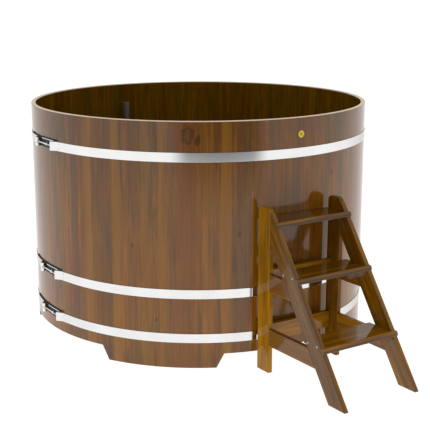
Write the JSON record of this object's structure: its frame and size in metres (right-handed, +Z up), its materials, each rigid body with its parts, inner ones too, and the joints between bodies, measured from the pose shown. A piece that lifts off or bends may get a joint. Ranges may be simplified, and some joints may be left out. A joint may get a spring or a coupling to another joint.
{
  "type": "cold plunge tub",
  "caption": "Round staved wooden plunge tub bound by screw-tightened steel hoops, with an overflow standpipe and a free-standing step ladder.",
  "frame": {"origin": "bottom centre of the box round the tub and its ladder, on the floor", "axes": "+Z up, the ladder stands on the -Y side of the tub, +X to the right of someone who climbs it"},
  "size_m": [1.5108, 2.0362, 1],
  "materials": {
    "stave_wood": "stained and lacquered, glossy",
    "ladder_wood": "stained and lacquered, glossy",
    "floor_wood": "stained, satin",
    "hoop_steel": "polished stainless",
    "bolt_steel": "plain stainless",
    "rubber": "matte",
    "badge_yellow": "gloss enamel"
  },
  "bodies": {
    "tub": {"stave_pair_01": "stave_wood", "stave_pair_02": "stave_wood", "stave_pair_03": "stave_wood", "stave_pair_04": "stave_wood", "stave_pair_05": "stave_wood", "stave_pair_06": "stave_wood", "stave_pair_07": "stave_wood", "stave_pair_08": "stave_wood", "stave_pair_09": "stave_wood", "stave_pair_10": "stave_wood", "stave_pair_11": "stave_wood", "stave_pair_12": "stave_wood", "stave_pair_13": "stave_wood", "stave_pair_14": "stave_wood", "stave_pair_15": "stave_wood", "stave_pair_16": "stave_wood", "stave_pair_17": "stave_wood", "stave_pair_18": "stave_wood", "stave_pair_19": "stave_wood", "stave_pair_20": "stave_wood", "stave_pair_21": "stave_wood", "stave_pair_22": "stave_wood", "stave_pair_23": "stave_wood", "stave_pair_24": "stave_wood", "floor_panel": "floor_wood", "floor_bearer_1": "floor_wood", "floor_bearer_2": "floor_wood", "hoop_top": "hoop_steel", "hoop_top_head_barrel": "bolt_steel", "hoop_top_nut_barrel": "bolt_steel", "hoop_middle": "hoop_steel", "hoop_middle_head_barrel": "bolt_steel", "hoop_middle_nut_barrel": "bolt_steel", "hoop_bottom": "hoop_steel", "hoop_bottom_head_barrel": "bolt_steel", "hoop_bottom_nut_barrel": "bolt_steel", "drain_body": "bolt_steel", "drain_gasket": "rubber", "drain_locknut": "bolt_steel", "badge_disc": "badge_yellow"},
    "ladder": {"ladder_tread_lower": "ladder_wood", "ladder_tread_middle": "ladder_wood", "ladder_tread_upper": "ladder_wood", "ladder_cross_rail_lower": "ladder_wood", "ladder_cross_rail_middle": "ladder_wood", "ladder_leg_left": "ladder_wood", "ladder_stringer_left": "ladder_wood", "ladder_rail_lower_left": "ladder_wood", "ladder_rail_middle_left": "ladder_wood", "ladder_leg_right": "ladder_wood", "ladder_stringer_right": "ladder_wood", "ladder_rail_lower_right": "ladder_wood", "ladder_rail_middle_right": "ladder_wood"},
    "standpipe": {"standpipe": "hoop_steel"},
    "hoop_top_nut": {"hoop_top_nut": "bolt_steel", "hoop_top_bolt": "bolt_steel"},
    "hoop_middle_nut": {"hoop_middle_nut": "bolt_steel", "hoop_middle_bolt": "bolt_steel"},
    "hoop_bottom_nut": {"hoop_bottom_nut": "bolt_steel", "hoop_bottom_bolt": "bolt_steel"}
  },
  "joints": [
    {"name": "ladder_pull_away", "type": "slide", "parent": "tub", "child": "ladder", "axis": [0, -1, 0], "range_m": [0, 0.5]},
    {"name": "standpipe_lift", "type": "slide", "parent": "tub", "child": "standpipe", "axis": [0, 0, 1], "range_m": [0, 0.85]},
    {"name": "hoop_top_nut_turn", "type": "hinge", "parent": "tub", "child": "hoop_top_nut", "pos_m": [-0.74419, 0.26298, 0.86], "axis": [-0.0175, -0.9998, 0], "continuous": true},
    {"name": "hoop_middle_nut_turn", "type": "hinge", "parent": "tub", "child": "hoop_middle_nut", "pos_m": [-0.74419, 0.26298, 0.31], "axis": [-0.0175, -0.9998, 0], "continuous": true},
    {"name": "hoop_bottom_nut_turn", "type": "hinge", "parent": "tub", "child": "hoop_bottom_nut", "pos_m": [-0.74419, 0.26298, 0.126], "axis": [-0.0175, -0.9998, 0], "continuous": true}
  ]
}
